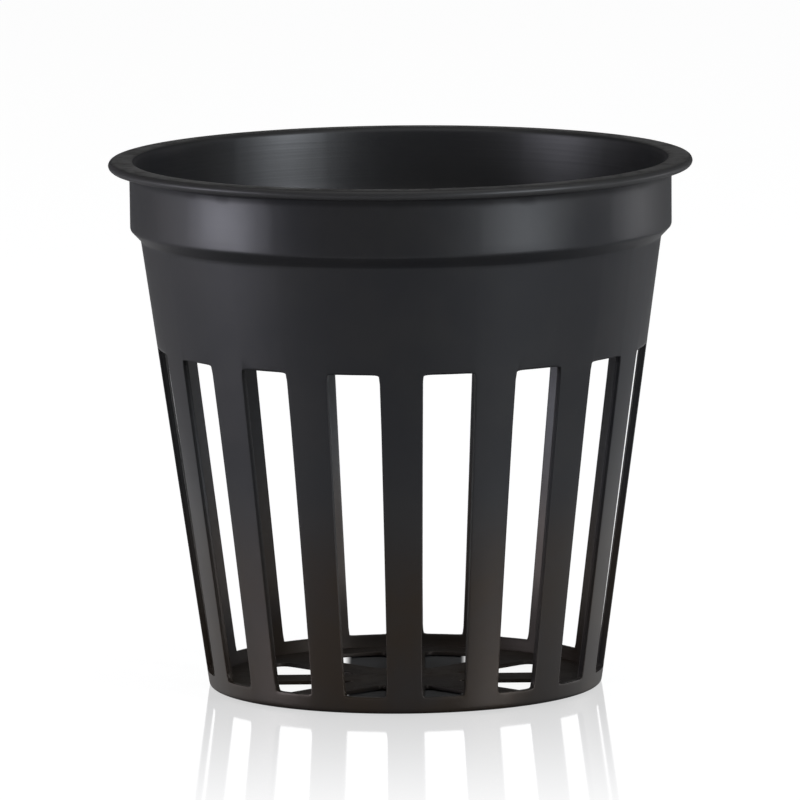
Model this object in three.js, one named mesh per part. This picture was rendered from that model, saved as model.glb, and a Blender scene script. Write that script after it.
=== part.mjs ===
// Net pot: a small black plastic basket for growing plants in water. It hangs by its lip in a round hole,
// holds a plug of growing medium, and lets the roots out through the slots of its wall and floor.
// Millimetres, +Z up, origin under the middle of the base. The front of the pot faces -Y.

import * as THREE from 'three';

// Overall size
const HEIGHT = 50;
const LIP_RADIUS = 27.5;
const COLLAR_RADIUS = 25.5;
const WALL_THICKNESS = 0.6;

// Lip: a flange with a half-round outer edge and a rounded mouth, on a short root that tops the collar
const LIP_THICKNESS = 0.9;
const LIP_ROOT = 0.5;
const LIP_EDGE = LIP_THICKNESS / 2;
const MOUTH_ROUNDING = WALL_THICKNESS;

// Collar and the shoulder under it
const COLLAR_BOTTOM = 43.95;
const SHOULDER_BOTTOM = 42.55;
const SHOULDER_ROUNDING = 0.9;
const SHOULDER_SLANT = THREE.MathUtils.degToRad(50);

// Tapered wall: its outer radius at the base, and the radius it gains for each millimetre of height
const WALL_BASE_RADIUS = 18.55;
const WALL_TAPER = 0.14;

// Slots, and the ribs that stand between them
const RIB_COUNT = 16;
const RIB_ANGLE = THREE.MathUtils.degToRad(9.7);
const SLOT_TOP = 32.4;
const SLOT_BOTTOM = 1.6;
const SLOT_CORNER = 0.35;

// Base: heel, foot and floor
const HEEL_ROUNDING = 0.4;
const FOOT_INNER_RADIUS = 17.6;
const FLOOR_BOTTOM = 0.1;
const FLOOR_TOP = 0.5;
const FLOOR_HOLE_RADIUS = 15;
const SPOKE_COUNT = 8;
const SPOKE_WIDTH = 3.6;
const HUB_RADIUS = 5.2;
const SPOKE_GAP = 0.05; // clearance at both ends of a spoke

// Facets
const RING_SEGMENTS = 64;
const RIB_COLUMNS = 2;
const CORNER_STEPS = 3;
const ROUNDING_STEPS = 4;

const LIP_UNDERSIDE = HEIGHT - LIP_THICKNESS;
const COLLAR_TOP = LIP_UNDERSIDE - LIP_ROOT;
const COLLAR_INNER_RADIUS = COLLAR_RADIUS - WALL_THICKNESS;
const HALF_TURN = Math.PI;
const QUARTER_TURN = Math.PI / 2;

function wallRadius(height) {
  return WALL_BASE_RADIUS + WALL_TAPER * height;
}

function blackPlastic() {
  return new THREE.MeshStandardMaterial({ color: 0x2d2d2e, roughness: 0.42, metalness: 0 });
}

// Corners [radius, height] along an arc of an outline, both ends included
function arc(centreRadius, centreHeight, rounding, start, end, steps) {
  const corners = [];
  for (let step = 0; step <= steps; step += 1) {
    const angle = start + ((end - start) * step) / steps;
    corners.push([centreRadius + rounding * Math.cos(angle), centreHeight + rounding * Math.sin(angle)]);
  }
  return corners;
}

// A ring turned about the pot's axis from its closed section
function turnedRing(section) {
  const points = section.map(([radius, height]) => new THREE.Vector2(radius, height));
  points.push(points[0].clone());
  const ring = new THREE.LatheGeometry(points, RING_SEGMENTS);
  ring.rotateX(QUARTER_TURN);
  return ring;
}

function lipGeometry() {
  const middle = HEIGHT - LIP_EDGE;
  return turnedRing([
    [COLLAR_INNER_RADIUS, COLLAR_TOP],
    [COLLAR_RADIUS, COLLAR_TOP],
    [COLLAR_RADIUS, LIP_UNDERSIDE],
    ...arc(LIP_RADIUS - LIP_EDGE, middle, LIP_EDGE, -QUARTER_TURN, QUARTER_TURN, ROUNDING_STEPS + 2),
    ...arc(
      COLLAR_INNER_RADIUS + MOUTH_ROUNDING,
      HEIGHT - MOUTH_ROUNDING,
      MOUTH_ROUNDING,
      QUARTER_TURN,
      HALF_TURN,
      ROUNDING_STEPS,
    ),
  ]);
}

function collarGeometry() {
  return turnedRing([
    [COLLAR_INNER_RADIUS, COLLAR_BOTTOM],
    [COLLAR_RADIUS, COLLAR_BOTTOM],
    [COLLAR_RADIUS, COLLAR_TOP],
    [COLLAR_INNER_RADIUS, COLLAR_TOP],
  ]);
}

function shoulderGeometry() {
  const foot = wallRadius(SHOULDER_BOTTOM);
  const rounding = SHOULDER_ROUNDING;
  return turnedRing([
    [foot - WALL_THICKNESS, SHOULDER_BOTTOM],
    [foot, SHOULDER_BOTTOM],
    ...arc(COLLAR_RADIUS - rounding, COLLAR_BOTTOM, rounding, -SHOULDER_SLANT, 0, CORNER_STEPS),
    [COLLAR_INNER_RADIUS, COLLAR_BOTTOM],
  ]);
}

function plainWallGeometry() {
  const low = wallRadius(SLOT_TOP);
  const high = wallRadius(SHOULDER_BOTTOM);
  return turnedRing([
    [low - WALL_THICKNESS, SLOT_TOP],
    [low, SLOT_TOP],
    [high, SHOULDER_BOTTOM],
    [high - WALL_THICKNESS, SHOULDER_BOTTOM],
  ]);
}

function baseRingGeometry() {
  const heel = wallRadius(HEEL_ROUNDING);
  const top = wallRadius(SLOT_BOTTOM);
  const inner = wallRadius(FLOOR_TOP) - WALL_THICKNESS;
  return turnedRing([
    [FOOT_INNER_RADIUS, 0],
    ...arc(heel - HEEL_ROUNDING, HEEL_ROUNDING, HEEL_ROUNDING, -QUARTER_TURN, 0, ROUNDING_STEPS),
    [top, SLOT_BOTTOM],
    [top - WALL_THICKNESS, SLOT_BOTTOM],
    [inner, FLOOR_TOP],
    [FLOOR_HOLE_RADIUS, FLOOR_TOP],
    [FLOOR_HOLE_RADIUS, FLOOR_BOTTOM],
    [FOOT_INNER_RADIUS, FLOOR_BOTTOM],
  ]);
}

// Height of a rib's row, and how far the rounded slot corners widen the rib there
function ribRow(row, lastRow) {
  const stepsFromEnd = Math.min(row, lastRow - row);
  const turn = (QUARTER_TURN * stepsFromEnd) / CORNER_STEPS;
  const rise = SLOT_CORNER * (1 - Math.cos(turn));
  const widening = SLOT_CORNER * (1 - Math.sin(turn));
  const height = row < lastRow / 2 ? SLOT_BOTTOM + rise : SLOT_TOP - rise;
  return { height, widening };
}

// A box bent round the wall: the rib at the front of the pot, the same angle wide from end to end
function ribGeometry() {
  const lastRow = 2 * CORNER_STEPS + 1;
  const rib = new THREE.BoxGeometry(1, 1, 1, RIB_COLUMNS, 1, lastRow);
  const place = rib.attributes.position;
  for (let i = 0; i < place.count; i += 1) {
    const { height, widening } = ribRow(Math.round((place.getZ(i) + 0.5) * lastRow), lastRow);
    const outer = wallRadius(height);
    const radius = outer - WALL_THICKNESS * (place.getY(i) + 0.5);
    const angle = place.getX(i) * (RIB_ANGLE + (2 * widening) / outer);
    place.setXYZ(i, radius * Math.sin(angle), -radius * Math.cos(angle), height);
  }
  return rib;
}

// A bar of the floor, from a flat of the hub to the ledge of the base ring, pointing to the front
function spokeGeometry() {
  const near = HUB_RADIUS * Math.cos(HALF_TURN / SPOKE_COUNT) + SPOKE_GAP;
  const reach = FLOOR_HOLE_RADIUS * Math.cos(HALF_TURN / RING_SEGMENTS) - SPOKE_GAP;
  const half = SPOKE_WIDTH / 2;
  const spread = Math.asin(half / reach);
  const outline = new THREE.Shape();
  outline.moveTo(half, -near);
  outline.lineTo(-half, -near);
  outline.absarc(0, 0, reach, -QUARTER_TURN - spread, -QUARTER_TURN + spread);
  outline.closePath();
  const bar = new THREE.ExtrudeGeometry(outline, {
    depth: FLOOR_TOP - FLOOR_BOTTOM,
    curveSegments: CORNER_STEPS,
    bevelEnabled: false,
  });
  bar.translate(0, 0, FLOOR_BOTTOM);
  return bar;
}

// An eight-sided plate with a flat towards each spoke
function hubGeometry() {
  const plate = new THREE.CylinderGeometry(HUB_RADIUS, HUB_RADIUS, FLOOR_TOP - FLOOR_BOTTOM, SPOKE_COUNT);
  plate.rotateX(QUARTER_TURN);
  plate.rotateZ(HALF_TURN / SPOKE_COUNT);
  plate.translate(0, 0, (FLOOR_TOP + FLOOR_BOTTOM) / 2);
  return plate;
}

const pot = new THREE.Group();

function addPiece(name, geometry, turn = 0) {
  const piece = new THREE.Mesh(geometry, blackPlastic());
  piece.name = name;
  piece.rotation.z = turn;
  pot.add(piece);
}

addPiece('rim_lip', lipGeometry());
addPiece('collar_band', collarGeometry());
addPiece('collar_shoulder', shoulderGeometry());
addPiece('plain_wall', plainWallGeometry());
for (let rib = 0; rib < RIB_COUNT; rib += 1) {
  const number = String(rib + 1).padStart(2, '0');
  addPiece(`rib_${number}`, ribGeometry(), (2 * HALF_TURN * rib) / RIB_COUNT);
}
addPiece('base_ring', baseRingGeometry());
for (let spoke = 0; spoke < SPOKE_COUNT; spoke += 1) {
  addPiece(`floor_spoke_${spoke + 1}`, spokeGeometry(), (2 * HALF_TURN * spoke) / SPOKE_COUNT);
}
addPiece('floor_hub', hubGeometry());

export default pot;
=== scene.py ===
import math

import bmesh
import bpy
from mathutils import Matrix, Quaternion, Vector


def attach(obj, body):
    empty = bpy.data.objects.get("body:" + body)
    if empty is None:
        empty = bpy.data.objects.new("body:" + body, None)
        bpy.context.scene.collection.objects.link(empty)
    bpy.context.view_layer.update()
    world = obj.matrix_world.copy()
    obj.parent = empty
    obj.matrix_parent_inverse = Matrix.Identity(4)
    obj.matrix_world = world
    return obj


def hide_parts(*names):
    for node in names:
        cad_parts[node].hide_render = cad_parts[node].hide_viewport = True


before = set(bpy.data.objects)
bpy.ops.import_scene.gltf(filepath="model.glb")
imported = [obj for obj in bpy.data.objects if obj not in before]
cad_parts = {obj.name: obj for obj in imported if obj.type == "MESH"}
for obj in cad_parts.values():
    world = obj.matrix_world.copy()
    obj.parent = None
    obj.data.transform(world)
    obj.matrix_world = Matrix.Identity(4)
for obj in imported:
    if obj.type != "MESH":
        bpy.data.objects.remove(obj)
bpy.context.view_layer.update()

# Lengths of the pot are in millimetres here, and become metres where a mesh is drawn
MM = 0.001

# Section of the pot: lip, collar, shoulder, tapered wall and foot
HEIGHT = 50.0
LIP_RADIUS = 27.5
LIP_UNDERSIDE = 49.1
LIP_EDGE = 0.44
LIP_FILLET = 0.45
MOUTH_ROUNDING = 0.6
COLLAR_RADIUS = 25.5
COLLAR_INNER_RADIUS = 24.9
COLLAR_CORNER = 43.56
COLLAR_ROUNDING = 0.5
SHOULDER_BOTTOM = 42.55
SHOULDER_ROUNDING = 0.7
INNER_SHOULDER_TOP = 43.95
INNER_SHOULDER_ROUNDING = 3.0
INNER_SHOULDER_EDGE = 0.6
WALL_BASE_RADIUS = 18.55
WALL_TAPER = 0.14
WALL_THICKNESS = 0.6
HEEL_ROUNDING = 0.4
FOOT_INNER_RADIUS = 17.6
FOOT_INNER_TOP = 0.7
FOOT_ROUNDING = 0.12

# Ribs and slots, with angles in degrees
RIB_COUNT = 16
RIB_ANGLE = 9.7
PITCH = 360.0 / RIB_COUNT
SLOT_ANGLE = PITCH - RIB_ANGLE
SLOT_TOP = 32.4
SLOT_BOTTOM = 1.6
SLOT_CORNER = 0.35
SLOT_CORNER_ANGLE = 0.95
SLOT_EDGE = 0.07
SEAM_ANGLE = 0.1

# Share of a corner's rounding at which its arc passes nearest to the corner
ARC_MIDDLE = 1 - math.sqrt(0.5)

# Floor, and the gate mark under it
FLOOR_TOP = 0.5
FLOOR_THICKNESS = 0.4
FLOOR_BOTTOM = FLOOR_TOP - FLOOR_THICKNESS
FLOOR_RADIUS = 18.05
HOLE_RADIUS = 15.0
HOLE_COUNT = 8
HOLE_PITCH = 360.0 / HOLE_COUNT
SPOKE_WIDTH = 3.6
SPOKE_MIDDLE = 8.0
HOLE_CORNER = 0.9
HOLE_TIP = 0.45
HOLE_EDGE = 0.1
HOLE_MARGIN = 0.1
GATE_RADIUS = 1.2
GATE_DEPTH = 0.12
GATE_ROOT = 0.05
GATE_RING = 0.66
GATE_DIMPLE = 0.03
GATE_EDGE = 0.025

# Places this near are one place, corners this near are merged, and edges are sharp from this angle
SAME_PLACE = 0.01
SEAM_GAP = 0.001
SHARP_ANGLE = math.radians(60)

# Heights between which the plastic's finish changes, the painted shade line under the lip begins and ends,
# and the painted warm reflection near the foot fades in
LIP_STARTS = (48.9, 49.2)
# CORNER_STARTS and CORNER_ENDS bound a painted shade line under the lip
CORNER_STARTS = (48.1, 48.6)
CORNER_ENDS = (49.2, 49.1)
# WARM_ENDS: a painted warm reflection fades in below these heights
WARM_ENDS = (22.0, 10.0)
POLISH_STARTS = (3.0, 9.0)

# Colours of the plastic, and of the light that it mirrors
BLACK = (0.0100, 0.0100, 0.0115, 1)
# WARM_BLACK is painted light: a warm reflection from below, painted into the black near the foot
WARM_BLACK = (0.0165, 0.0115, 0.0075, 1)
CLOUDY_BLACK = (0.0145, 0.0138, 0.0138, 1)
LIP_GREY = (0.032, 0.031, 0.030, 1)
DUST_GREY = (0.050, 0.048, 0.046, 1)
WHITE = (1, 1, 1, 1)
# WARM_WHITE tints the reflections near the foot warm, a painted warm reflection
WARM_WHITE = (1.0, 0.86, 0.76, 1)

# White paper under the pot: distances from its axis in metres, SHADE_REACH being where its painted shade
# round the foot fades out, and the sheen gained for each metre nearer
FOOT_REACH = 0.0175
SHADE_REACH = (0.03, 0.09)
SHEEN_REACH = 0.088
SHEEN_RISE = 5.25

# Distances to either side of the pot's middle, in metres, between which the paper under it turns from painted
# shade to white painted light
SIDE_LIGHT = (0.0052, 0.0060)

# Camera of the photograph: distances in millimetres, angles in degrees
CAMERA_SENSOR = 36.0
CAMERA_LENS = 472.4
CAMERA_DISTANCE = 990.7
CAMERA_ELEVATION = 8.0
CAMERA_TURN = 0.3
CAMERA_ROLL = -0.592
CAMERA_MIDDLE = 25.15
CAMERA_AIM_UP = 1.77
CAMERA_AIM_RIGHT = -0.26


def wall_radius(height):
    return WALL_BASE_RADIUS + WALL_TAPER * height


def pick(mode, wanted):
    """Selects only the corners, edges or faces of the mesh in hand that wanted() says yes to."""
    bpy.ops.mesh.select_mode(type=mode)
    bpy.ops.mesh.select_all(action="DESELECT")
    shape = bpy.context.edit_object.data
    mesh = bmesh.from_edit_mesh(shape)
    for part in {"VERT": mesh.verts, "EDGE": mesh.edges, "FACE": mesh.faces}[mode]:
        if wanted(part):
            part.select_set(True)
    mesh.select_flush_mode()
    bmesh.update_edit_mesh(shape)


def edge_ends(edge):
    return [corner.co / MM for corner in edge.verts]


def is_sharp(edge):
    return len(edge.link_faces) == 2 and edge.calc_face_angle() >= SHARP_ANGLE


def distance_out(point):
    return math.hypot(point.x, point.y)


def turn_from_front(point):
    return math.degrees(math.atan2(point.x, -point.y))


def start_piece(name):
    """The primitive just added, named, in edit mode with all of it selected."""
    piece = bpy.context.active_object
    piece.name = name
    piece.data.name = name
    bpy.ops.object.mode_set(mode="EDIT")
    bpy.ops.mesh.select_mode(type="VERT")
    bpy.ops.mesh.select_all(action="SELECT")
    return piece


def merge_seams():
    bpy.ops.mesh.select_all(action="SELECT")
    bpy.ops.mesh.remove_doubles(threshold=SEAM_GAP * MM)


def close_piece(piece, smoothing=0):
    """Merges the seams, turns the faces outwards, smooths the mesh and shades it by the larger faces."""
    merge_seams()
    bpy.ops.mesh.normals_make_consistent(inside=False)
    bpy.ops.object.mode_set(mode="OBJECT")
    bpy.ops.object.shade_smooth()
    if smoothing:
        bpy.ops.object.modifier_add(type="SUBSURF")
        piece.modifiers[-1].levels = smoothing
        piece.modifiers[-1].render_levels = smoothing
        bpy.ops.object.modifier_apply(modifier=piece.modifiers[-1].name)
    bpy.ops.object.modifier_add(type="WEIGHTED_NORMAL")
    piece.modifiers[-1].weight = 80
    bpy.ops.object.modifier_apply(modifier=piece.modifiers[-1].name)
    piece.select_set(False)


def rounded(corners):
    """Points of a closed outline whose corners (x, y, rounding, steps of its arc) are rounded."""
    points = []
    for i, (x, y, rounding, steps) in enumerate(corners):
        corner = Vector((x, y))
        if not rounding:
            points.append(corner)
            continue
        back = (Vector(corners[i - 1][:2]) - corner).normalized()
        ahead = (Vector(corners[(i + 1) % len(corners)][:2]) - corner).normalized()
        half = back.angle(ahead) / 2
        centre = corner + (back + ahead).normalized() * (rounding / math.sin(half))
        first = corner + back * (rounding / math.tan(half)) - centre
        sweep = (math.pi - 2 * half) * math.copysign(1, back.x * ahead.y - back.y * ahead.x)
        for step in range(steps + 1):
            points.append(centre + Matrix.Rotation(-sweep * step / steps, 2) @ first)
    return points


def on_wall(angle, height, depth=0.0):
    """Place at a turn from the front and a height, on the wall's outside or that depth inside it."""
    turned = math.radians(angle)
    out = wall_radius(height) - depth
    return Vector((out * math.sin(turned), -out * math.cos(turned), height))


def wall_line(heights, depth=0.0):
    """Points of the section along the wall, with no rounding."""
    return [(wall_radius(height) - depth, height, 0, 0) for height in heights]


def pot_section():
    """Section of the moulding, outside first from the mouth down, then up again inside."""
    shoulder = wall_radius(SHOULDER_BOTTOM)
    rows = (SLOT_TOP, SLOT_TOP - SLOT_CORNER, SLOT_BOTTOM + SLOT_CORNER, SLOT_BOTTOM)
    return rounded(
        [
            (COLLAR_INNER_RADIUS, HEIGHT, MOUTH_ROUNDING, 4),
            (LIP_RADIUS, HEIGHT, LIP_EDGE, 3),
            (LIP_RADIUS, LIP_UNDERSIDE, LIP_EDGE, 3),
            (COLLAR_RADIUS, LIP_UNDERSIDE, LIP_FILLET, 3),
            (COLLAR_RADIUS, COLLAR_CORNER, COLLAR_ROUNDING, 4),
            (shoulder, SHOULDER_BOTTOM, SHOULDER_ROUNDING, 3),
            *wall_line(rows),
            (WALL_BASE_RADIUS, 0, HEEL_ROUNDING, 4),
            (FOOT_INNER_RADIUS, 0, FOOT_ROUNDING, 2),
            *wall_line([FOOT_INNER_TOP], WALL_THICKNESS),
            *wall_line(reversed(rows), WALL_THICKNESS),
            (shoulder - WALL_THICKNESS, SHOULDER_BOTTOM, INNER_SHOULDER_EDGE, 2),
            (COLLAR_INNER_RADIUS, INNER_SHOULDER_TOP, INNER_SHOULDER_ROUNDING, 4),
        ]
    )


def draw_loop(points):
    """Draws a closed line of edges in the mesh in hand, from one corner to the next."""
    for here, there in zip(points, points[1:] + points[:1]):
        bpy.ops.mesh.extrude_vertices_move(TRANSFORM_OT_translate={"value": (there - here) * MM})


def start_point(name, place):
    """A new piece that is one point so far."""
    bpy.ops.mesh.primitive_plane_add(size=MM)
    piece = start_piece(name)
    bpy.ops.mesh.merge(type="CENTER")
    bpy.ops.transform.translate(value=place * MM)
    return piece


def turn(angle, steps=1, copies=False):
    """Spins what is selected round the pot's axis, away from the front to the right."""
    bpy.ops.mesh.spin(
        steps=steps,
        dupli=copies,
        angle=math.radians(angle),
        center=(0, 0, 0),
        axis=(0, 0, -1),
    )


def in_slot(face):
    """True for the wall's faces where the slot goes through, all but the cells in its corners."""
    middle = face.calc_center_median() / MM
    from_side = min(turn_from_front(middle) - RIB_ANGLE / 2, PITCH - RIB_ANGLE / 2 - turn_from_front(middle))
    from_end = min(middle.z - SLOT_BOTTOM, SLOT_TOP - middle.z)
    in_corner = from_side < SLOT_CORNER_ANGLE and from_end < SLOT_CORNER
    return from_side > 0 and from_end > 0 and not in_corner


def slot_opening(edge):
    """True for the open edges that the deleted faces of the slot leave, and not for the ends of the pitch."""
    turns = [turn_from_front(end) for end in edge_ends(edge)]
    return edge.is_boundary and all(SEAM_ANGLE < angle < PITCH - SEAM_ANGLE for angle in turns)


def slot_rim(edge):
    """True for the edges where the slot meets the wall's outside and inside."""
    heights = [end.z for end in edge_ends(edge)]
    return is_sharp(edge) and all(SLOT_BOTTOM - SAME_PLACE < z < SLOT_TOP + SAME_PLACE for z in heights)


def round_slot_corners():
    """Moves the free corner of each cell left in a slot corner on to the arc of the rounding."""
    for depth in (0.0, WALL_THICKNESS):
        for side, inward in ((RIB_ANGLE / 2, 1), (PITCH - RIB_ANGLE / 2, -1)):
            for end, into_slot in ((SLOT_TOP, -1), (SLOT_BOTTOM, 1)):
                grid = on_wall(side + inward * SLOT_CORNER_ANGLE, end + into_slot * SLOT_CORNER, depth)
                arc = on_wall(
                    side + inward * SLOT_CORNER_ANGLE * ARC_MIDDLE,
                    end + into_slot * SLOT_CORNER * ARC_MIDDLE,
                    depth,
                )
                pick("VERT", lambda corner: (corner.co / MM - grid).length < SAME_PLACE)
                bpy.ops.transform.translate(value=(arc - grid) * MM)


def make_pot_wall():
    """Lip, collar, wall, ribs and foot as one moulding: one pitch is drawn, then turned round the axis."""
    section = [Vector((0, -point.x, point.y)) for point in pot_section()]
    wall = start_point("pot_wall", section[0])
    draw_loop(section)
    merge_seams()
    turn(RIB_ANGLE / 2, 2)
    turn(SLOT_CORNER_ANGLE)
    turn(SLOT_ANGLE - 2 * SLOT_CORNER_ANGLE, 4)
    turn(SLOT_CORNER_ANGLE)
    turn(RIB_ANGLE / 2, 2)
    pick("FACE", in_slot)
    bpy.ops.mesh.delete(type="FACE")
    round_slot_corners()
    pick("EDGE", slot_opening)
    bpy.ops.mesh.bridge_edge_loops()
    pick("EDGE", slot_rim)
    bpy.ops.mesh.bevel(offset=SLOT_EDGE * MM, segments=2, affect="EDGES")
    bpy.ops.mesh.select_all(action="SELECT")
    turn(PITCH * (RIB_COUNT - 1), RIB_COUNT - 1, copies=True)
    close_piece(wall, smoothing=1)
    return wall


def on_floor(angle, out):
    """Place on the floor's top, at a turn from the middle of the first hole and a distance from the axis."""
    turned = math.radians(HOLE_PITCH / 2 + angle)
    return Vector((out * math.sin(turned), -out * math.cos(turned), FLOOR_TOP))


def hole_outline():
    """The first hole of the floor: two sides along the bars, a rounded tip and a curved outer side."""
    half_pitch = HOLE_PITCH / 2
    half_bar = SPOKE_WIDTH / 2
    reach = half_pitch - math.degrees(math.asin(half_bar / HOLE_RADIUS))
    tip = on_floor(0, half_bar / math.sin(math.radians(half_pitch)))
    right = on_floor(reach, HOLE_RADIUS)
    left = on_floor(-reach, HOLE_RADIUS)
    curve = [on_floor(reach * share, HOLE_RADIUS) for share in (0.7, 0.4, 0.13, -0.13, -0.4, -0.7)]
    corners = [
        (tip.x, tip.y, HOLE_TIP, 4),
        (right.x, right.y, HOLE_CORNER, 5),
        *[(point.x, point.y, 0, 0) for point in curve],
        (left.x, left.y, HOLE_CORNER, 5),
    ]
    return [Vector((point.x, point.y, FLOOR_TOP)) for point in rounded(corners)]


def floor_wedge():
    """One eighth of the floor, from the axis to its edge, with the middle of a bar on each side."""
    half_pitch = HOLE_PITCH / 2
    edge = [on_floor(half_pitch * share, FLOOR_RADIUS) for share in (1, 0.6, 0.2, -0.2, -0.6, -1)]
    right, left = on_floor(half_pitch, SPOKE_MIDDLE), on_floor(-half_pitch, SPOKE_MIDDLE)
    return [Vector((0, 0, FLOOR_TOP)), right, *edge, left]


def hole_rim(edge):
    """True for the edges of the floor's holes, above and below."""
    return is_sharp(edge) and all(distance_out(end) < HOLE_RADIUS + HOLE_MARGIN for end in edge_ends(edge))


def make_pot_floor():
    """Floor plate with its round of holes: an eighth is drawn, then turned round the axis.

    Its edge is held in the wall.
    """
    wedge = floor_wedge()
    hole = hole_outline()

    def from_axis_to_hole(edge):
        ends = edge_ends(edge)
        at_axis = any(distance_out(end) < SAME_PLACE for end in ends)
        return at_axis and any((end - hole[0]).length < SAME_PLACE for end in ends)

    plate = start_point("pot_floor", wedge[0])
    draw_loop(wedge)
    bpy.ops.mesh.extrude_vertices_move(TRANSFORM_OT_translate={"value": (hole[0] - wedge[0]) * MM})
    draw_loop(hole)
    pick("EDGE", from_axis_to_hole)
    bpy.ops.mesh.delete(type="EDGE")
    merge_seams()
    bpy.ops.mesh.fill(use_beauty=True)
    bpy.ops.mesh.select_all(action="SELECT")
    turn(HOLE_PITCH * (HOLE_COUNT - 1), HOLE_COUNT - 1, copies=True)
    merge_seams()
    bpy.ops.mesh.extrude_region_move(TRANSFORM_OT_translate={"value": (0, 0, -FLOOR_THICKNESS * MM)})
    pick("EDGE", hole_rim)
    bpy.ops.mesh.bevel(offset=HOLE_EDGE * MM, segments=2, affect="EDGES")
    close_piece(plate)
    return plate


def stub_edge(edge):
    """True for the sharp edges of the gate mark below the floor."""
    return is_sharp(edge) and all(end.z < FLOOR_BOTTOM for end in edge_ends(edge))


def make_gate_mark():
    """The low stub that the moulding channel leaves under the middle of the floor."""
    bpy.ops.mesh.primitive_cylinder_add(vertices=32, radius=GATE_RADIUS * MM, depth=GATE_DEPTH * MM)
    stub = start_piece("gate_mark")
    bpy.ops.transform.translate(value=(0, 0, (FLOOR_BOTTOM - GATE_DEPTH / 2 + GATE_ROOT) * MM))
    pick("FACE", lambda face: face.normal.z < -0.9)
    bpy.ops.mesh.inset(thickness=GATE_RING * MM, depth=0)
    bpy.ops.transform.translate(value=(0, 0, GATE_DIMPLE * MM))
    pick("EDGE", stub_edge)
    bpy.ops.mesh.bevel(offset=GATE_EDGE * MM, segments=2, affect="EDGES")
    close_piece(stub)
    return stub


class Sheet:
    """The node sheet of one material, filled from left to right."""

    def __init__(self, name):
        self.material = bpy.data.materials.new(name)
        self.material.use_nodes = True
        self.tree = self.material.node_tree
        self.tree.nodes.clear()

    def add(self, kind, settings=None, **sockets):
        node = self.tree.nodes.new(kind)
        for key, value in (settings or {}).items():
            setattr(node, key, value)
        for key, value in sockets.items():
            self.feed(node.inputs[key.replace("_", " ")], value)
        return node

    def feed(self, socket, value):
        if isinstance(value, bpy.types.NodeSocket):
            self.tree.links.new(value, socket)
        else:
            socket.default_value = value

    def math(self, operation, *values):
        node = self.add("ShaderNodeMath", {"operation": operation})
        for socket, value in zip(node.inputs, values):
            self.feed(socket, value)
        return node.outputs[0]

    def total(self, first, *others):
        for other in others:
            first = self.math("ADD", first, other)
        return first

    def product(self, first, *others):
        for other in others:
            first = self.math("MULTIPLY", first, other)
        return first

    def rest(self, share):
        return self.math("SUBTRACT", 1.0, share)

    def place(self, x, y, z):
        return self.add("ShaderNodeCombineXYZ", X=x, Y=y, Z=z).outputs[0]

    def noise(self, place, scale, detail=2.0, roughness=0.5):
        node = self.add("ShaderNodeTexNoise", Vector=place, Scale=scale, Detail=detail, Roughness=roughness)
        return node.outputs["Fac"]

    def span(self, value, low, high, to_low=0.0, to_high=1.0):
        node = self.add("ShaderNodeMapRange", {"interpolation_type": "SMOOTHSTEP"}, Value=value)
        for key, amount in (("From Min", low), ("From Max", high), ("To Min", to_low), ("To Max", to_high)):
            node.inputs[key].default_value = amount
        return node.outputs["Result"]

    def blend(self, share, first, second):
        """Mixes two colours, through the colour sockets of a mix node."""
        node = self.add("ShaderNodeMix", {"data_type": "RGBA"})
        for socket, value in zip((node.inputs[0], node.inputs[6], node.inputs[7]), (share, first, second)):
            self.feed(socket, value)
        return node.outputs[2]

    def mix(self, share, first, second):
        node = self.add("ShaderNodeMixShader")
        for socket, value in zip(node.inputs, (share, first, second)):
            self.feed(socket, value)
        return node.outputs[0]

    def output(self, shader):
        self.add("ShaderNodeOutputMaterial", Surface=shader)
        return self.material


class PotSurface:
    """A point of the pot on a node sheet: its place, the way it faces, and its share in the pot's regions."""

    def __init__(self, sheet):
        self.sheet = sheet
        self.here = sheet.add("ShaderNodeTexCoord").outputs["Object"]
        self.x, self.y, self.z = sheet.add("ShaderNodeSeparateXYZ", Vector=self.here).outputs
        squares = sheet.total(sheet.product(self.x, self.x), sheet.product(self.y, self.y))
        self.across = sheet.math("SQRT", squares)
        normal = sheet.add("ShaderNodeNewGeometry").outputs["Normal"]
        self.normal_x, self.normal_y, self.up = sheet.add("ShaderNodeSeparateXYZ", Vector=normal).outputs
        self.flatness = sheet.math("ABSOLUTE", self.up)
        self.upright = sheet.span(self.flatness, 0.9, 0.3)
        self.inside = sheet.math("LESS_THAN", self.across, self.wall_middle())
        self.outside = sheet.rest(self.inside)
        self.lip = sheet.product(self.outside, self.by_height(LIP_STARTS))
        # Share of the painted warm light near the foot
        self.painted_warmth = self.by_height(WARM_ENDS)
        self.clouds = sheet.noise(self.here, 90.0, 4.0, 0.6)
        specks = sheet.span(sheet.noise(self.here, 420.0, 5.0, 0.7), 0.45, 0.7)
        self.dust = sheet.product(sheet.span(self.up, 0.35, 0.95), specks)

    def by_height(self, limits, to_low=0.0, to_high=1.0):
        """Goes from one value to another between two heights."""
        return self.sheet.span(self.z, limits[0] * MM, limits[1] * MM, to_low, to_high)

    def wall_middle(self):
        """Radius of the middle of the wall or the collar, which parts inside from outside."""
        base = (WALL_BASE_RADIUS - WALL_THICKNESS / 2) * MM
        collar = (COLLAR_RADIUS - WALL_THICKNESS / 2) * MM
        step_out = self.by_height((SHOULDER_BOTTOM, INNER_SHOULDER_TOP), 0.0, MM)
        wall = self.sheet.total(self.sheet.product(self.z, WALL_TAPER), base, step_out)
        return self.sheet.math("MINIMUM", wall, collar)

    def slot_side(self):
        """Share of the faces that look neither outwards nor inwards, up or down: the sides of the slots."""
        sheet = self.sheet
        outward = sheet.total(sheet.product(self.normal_x, self.x), sheet.product(self.normal_y, self.y))
        outward = sheet.math("ABSOLUTE", sheet.math("DIVIDE", outward, self.across))
        return sheet.span(sheet.total(outward, self.flatness), 0.75, 0.35)

    def painted_lip_shade(self):
        """Share of the band of the collar in the corner under the lip, where a painted shade line goes."""
        return self.sheet.product(self.outside, self.by_height(CORNER_STARTS), self.by_height(CORNER_ENDS))


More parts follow.
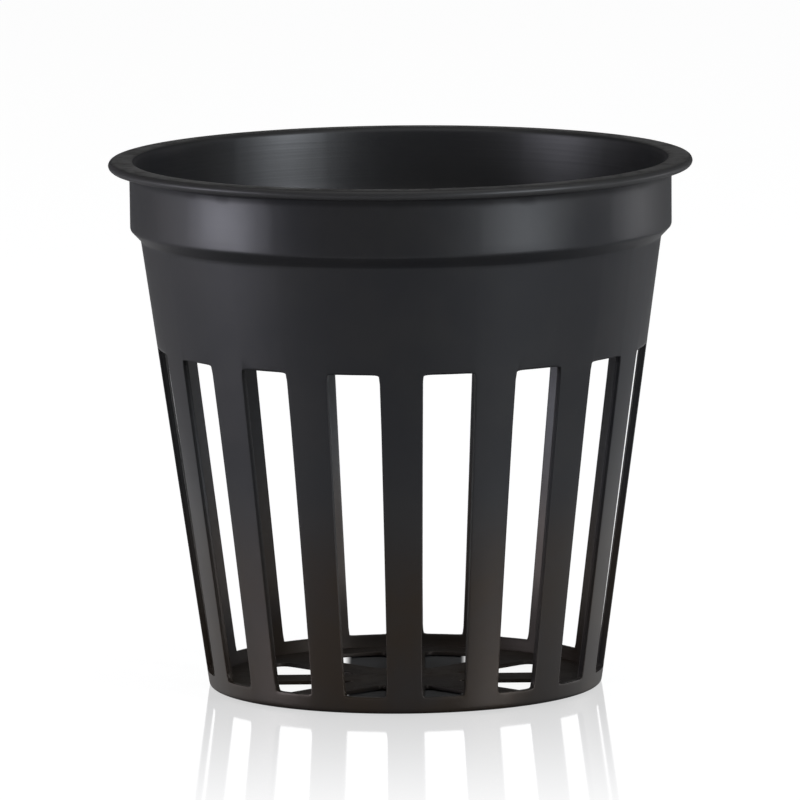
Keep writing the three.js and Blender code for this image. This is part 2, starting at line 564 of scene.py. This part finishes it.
def plastic_tone(sheet, pot):
    """Black, with painted warm light that browns it near the foot, faint clouds, a greyer lip and a little
    dust on top.
    """
    # Painted warm light near the foot
    tone = sheet.blend(pot.painted_warmth, BLACK, WARM_BLACK)
    tone = sheet.blend(sheet.span(pot.clouds, 0.35, 0.7), tone, CLOUDY_BLACK)
    tone = sheet.blend(sheet.product(pot.lip, 0.8), tone, LIP_GREY)
    return sheet.blend(sheet.product(pot.dust, 0.2), tone, DUST_GREY)


def plastic_roughness(sheet, pot):
    """Satin, rougher inside, in dust, on the lip and at a low angle to the eye, the last two less on tops."""
    glance = sheet.span(sheet.add("ShaderNodeLayerWeight", Blend=0.5).outputs["Facing"], 0.5, 0.95)
    not_top = sheet.span(pot.up, 0.98, 0.8, 0.4, 1.0)
    return sheet.total(
        sheet.span(pot.clouds, 0.3, 0.75, 0.33, 0.39),
        sheet.product(pot.dust, 0.15),
        sheet.product(pot.inside, 0.15),
        sheet.product(pot.lip, not_top, 0.08),
        sheet.product(glance, not_top, 0.15),
    )


def plastic_shine(sheet, pot):
    """More polished on upright faces inside; less shiny on undersides, slot sides and just under the lip, as
    painted shade.
    """
    polish = sheet.product(pot.inside, pot.upright, pot.by_height(POLISH_STARTS, 0.0, 0.6))
    return sheet.product(
        sheet.total(polish, 0.38),
        # Less shine on undersides and on slot sides is painted shade
        sheet.span(pot.up, -0.25, -0.65, 1.0, 0.6),
        sheet.rest(sheet.product(pot.slot_side(), 0.45)),
        # Less shine in the band just under the lip is a painted shade line
        sheet.rest(sheet.product(pot.painted_lip_shade(), 0.55)),
    )


def plastic_relief(sheet, pot):
    """Turned lines of the mould, deeper inside, drag marks along the ribs, and a fine grain."""
    along = sheet.total(pot.z, pot.across)
    rings = sheet.place(sheet.product(pot.x, 40.0), sheet.product(pot.y, 40.0), sheet.product(along, 2600.0))
    drag = sheet.place(sheet.product(pot.x, 1500.0), sheet.product(pot.y, 1500.0), sheet.product(pot.z, 40.0))
    line_depth = sheet.total(sheet.product(pot.inside, 4.0), 0.5)
    height = sheet.total(
        sheet.product(sheet.noise(rings, 1.0, 2.0), line_depth),
        sheet.product(sheet.noise(drag, 1.0, 3.0), 0.5),
        sheet.product(sheet.noise(pot.here, 7000.0, 2.0), 0.25),
    )
    return sheet.add("ShaderNodeBump", Strength=1.0, Distance=0.006 * MM, Height=height).outputs[0]


def black_plastic():
    """Satin black moulding, whose highlights inside are drawn out upwards by the mould's turned lines."""
    sheet = Sheet("black_plastic")
    pot = PotSurface(sheet)
    skin = sheet.add(
        "ShaderNodeBsdfPrincipled",
        Base_Color=plastic_tone(sheet, pot),
        Roughness=plastic_roughness(sheet, pot),
        Specular_IOR_Level=plastic_shine(sheet, pot),
        # The warm tint of the reflections near the foot is a painted warm reflection
        Specular_Tint=sheet.blend(pot.painted_warmth, WHITE, WARM_WHITE),
        Anisotropic=sheet.product(pot.upright, pot.inside, 0.72),
        Tangent=sheet.place(0.0, 0.0, 1.0),
        Normal=plastic_relief(sheet, pot),
    )
    return sheet.output(skin.outputs[0])


def grey(level):
    return (level, level, level, 1)


def matt(sheet, colour):
    return sheet.add("ShaderNodeBsdfDiffuse", Color=colour).outputs[0]


def glow(sheet, strength):
    return sheet.add("ShaderNodeEmission", Color=WHITE, Strength=strength).outputs[0]


def seen_directly(sheet):
    """1 for what the camera, a reflection or clear glass sees, 0 for light that bounces about."""
    path = sheet.add("ShaderNodeLightPath")
    seen = sheet.math("MAXIMUM", path.outputs["Is Camera Ray"], path.outputs["Is Glossy Ray"])
    return sheet.math("MAXIMUM", seen, path.outputs["Is Transmission Ray"])


def white_paper():
    """Paper that is white to the eye at a low angle, with the pot's shadow and a sheen that mirrors its foot.

    Under the pot it has no sheen; there it has painted shade along the middle and painted light at the sides,
    as the photograph shows it through the floor's holes. From above, and to bounced light, it is matt, with
    painted shade that greys it near the foot.
    """
    sheet = Sheet("white_paper")
    here = sheet.add("ShaderNodeTexCoord").outputs["Object"]
    away = sheet.add("ShaderNodeVectorMath", {"operation": "LENGTH"}, Vector=here).outputs["Value"]
    aside = sheet.math("ABSOLUTE", sheet.add("ShaderNodeSeparateXYZ", Vector=here).outputs[0])
    beyond = sheet.math("GREATER_THAN", away, FOOT_REACH)
    fade = sheet.math("MAXIMUM", sheet.math("SUBTRACT", SHEEN_REACH, away), 0.0)
    sheen = sheet.product(beyond, fade, SHEEN_RISE)
    # clear: white beyond the foot; under the pot, painted shade along the middle and painted light at the
    # sides
    clear = sheet.math("MAXIMUM", beyond, sheet.span(aside, *SIDE_LIGHT))
    # plain: matt paper with a painted shade that greys it near the foot
    plain = matt(sheet, sheet.blend(sheet.span(away, *SHADE_REACH), grey(0.45), grey(0.85)))
    # shaded: the matt part is darker under the pot, a painted shade
    shaded = matt(sheet, sheet.blend(beyond, grey(0.08), grey(0.25)))
    bright = glow(sheet, sheet.product(clear, 0.92))
    lit = sheet.add("ShaderNodeAddShader")
    sheet.feed(lit.inputs[0], shaded)
    sheet.feed(lit.inputs[1], bright)
    mirror = sheet.add("ShaderNodeBsdfGlossy", Color=WHITE, Roughness=0.06).outputs[0]
    polished = sheet.mix(sheen, lit.outputs[0], mirror)
    low_angle = sheet.span(sheet.add("ShaderNodeLayerWeight", Blend=0.5).outputs["Facing"], 0.45, 0.75)
    return sheet.output(sheet.mix(sheet.product(seen_directly(sheet), low_angle), plain, polished))


def white_card():
    """Card that is bright white to the eye and in reflections, and plain matt to other light."""
    sheet = Sheet("white_card")
    return sheet.output(sheet.mix(seen_directly(sheet), matt(sheet, grey(0.85)), glow(sheet, 1.0)))


def pale_floor():
    """Pale matt floor with faint cloudy shades."""
    sheet = Sheet("pale_floor")
    here = sheet.add("ShaderNodeTexCoord").outputs["Object"]
    clouds = sheet.span(sheet.noise(here, 6.0, 3.0), 0.3, 0.7)
    tone = sheet.blend(clouds, (0.76, 0.76, 0.77, 1), grey(0.80))
    skin = sheet.add("ShaderNodeBsdfPrincipled", Base_Color=tone, Roughness=0.85, Specular_IOR_Level=0.1)
    return sheet.output(skin.outputs[0])


def make_panel(name, size, place, tilt, material):
    """A flat sheet of the stage, tilted about the X axis."""
    bpy.ops.mesh.primitive_plane_add(size=1.0)
    panel = start_piece(name)
    bpy.ops.transform.resize(value=(size[0], size[1], 1))
    bpy.ops.transform.rotate(value=math.radians(tilt), orient_axis="X", center_override=(0, 0, 0))
    bpy.ops.transform.translate(value=place)
    bpy.ops.object.mode_set(mode="OBJECT")
    panel.data.materials.append(material)
    panel.select_set(False)


def dim_room():
    """Even, dim surroundings."""
    world = bpy.data.worlds.new("dim_room")
    world.use_nodes = True
    light = world.node_tree.nodes["Background"]
    light.inputs["Color"].default_value = WHITE
    light.inputs["Strength"].default_value = 0.06
    bpy.context.scene.world = world


def direction(turn_angle, elevation):
    """The way out from the pot at a turn from the front, to the right, and an elevation."""
    angle, rise = math.radians(turn_angle), math.radians(elevation)
    return Vector((math.sin(angle) * math.cos(rise), -math.cos(angle) * math.cos(rise), math.sin(rise)))


def softbox(name, away, distance, size, power, colour):
    """A soft light out that way from the middle of the pot, facing it, in metres and watts."""
    lamp = bpy.data.lights.new(name, "AREA")
    lamp.shape = "RECTANGLE"
    lamp.size, lamp.size_y = size
    lamp.energy = power
    lamp.color = colour
    box = bpy.data.objects.new(name, lamp)
    box.location = Vector((0, 0, HEIGHT * MM / 2)) + away * distance
    box.rotation_euler = (-away).to_track_quat("-Z", "Y").to_euler()
    bpy.context.scene.collection.objects.link(box)


def make_lights():
    """Low softboxes at both sides for the upright highlights, and a large dim light overhead."""
    softbox("left_softbox", direction(-76, 5.6), 0.32, (0.15, 0.10), 0.56, (0.88, 0.88, 1.0))
    softbox("left_rear_softbox", direction(-106, 5.6), 0.32, (0.15, 0.10), 0.05, (0.96, 0.94, 1.0))
    softbox("right_softbox", direction(52, 12), 0.6, (0.24, 0.26), 2.5, (0.88, 0.93, 1.0))
    softbox("right_rear_softbox", direction(116, 1.5), 0.6, (0.25, 0.06), 0.31, (0.96, 0.96, 1.0))
    softbox("ceiling_light", direction(0, 90), 1.1, (1.2, 1.2), 3.6, (1.0, 1.0, 1.0))


def make_camera():
    """Long lens from the front, a little above the rim, tilted slightly as the photograph is."""
    lens = bpy.data.cameras.new("camera")
    lens.sensor_width = CAMERA_SENSOR
    lens.lens = CAMERA_LENS
    camera = bpy.data.objects.new("camera", lens)
    rise = math.radians(CAMERA_ELEVATION)
    place = direction(CAMERA_TURN, CAMERA_ELEVATION) * CAMERA_DISTANCE + Vector((0, 0, CAMERA_MIDDLE))
    upright = Vector((0, math.sin(rise), math.cos(rise)))
    aim = Vector((CAMERA_AIM_RIGHT, 0, CAMERA_MIDDLE)) + upright * CAMERA_AIM_UP
    level_view = (aim - place).to_track_quat("-Z", "Y")
    roll = Quaternion((0, 0, 1), math.radians(CAMERA_ROLL))
    camera.location = place * MM
    camera.rotation_euler = (level_view @ roll).to_euler()
    bpy.context.scene.collection.objects.link(camera)
    bpy.context.scene.camera = camera


bpy.ops.object.select_all(action="DESELECT")
pot_wall = make_pot_wall()
pot_floor = make_pot_floor()
gate_mark = make_gate_mark()

plastic = black_plastic()
for piece in (pot_wall, pot_floor, gate_mark):
    piece.data.materials.append(plastic)
    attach(piece, "root")

ribs = [f"rib_{number:02d}" for number in range(1, RIB_COUNT + 1)]
spokes = [f"floor_spoke_{number}" for number in range(1, HOLE_COUNT + 1)]
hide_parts("rim_lip", "collar_band", "collar_shoulder", "plain_wall", "base_ring", *ribs)
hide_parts("floor_hub", *spokes)

make_panel("floor", size=(6.0, 6.0), place=(0, 0, -0.0003), tilt=0, material=pale_floor())
make_panel("white_paper", size=(0.15, 0.80), place=(0, 0.31, -0.00002), tilt=0, material=white_paper())
make_panel("white_card", size=(0.60, 0.36), place=(0, 3.0, 0.50), tilt=90, material=white_card())
dim_room()
make_lights()
make_camera()
bpy.context.scene.view_settings.view_transform = "Standard"
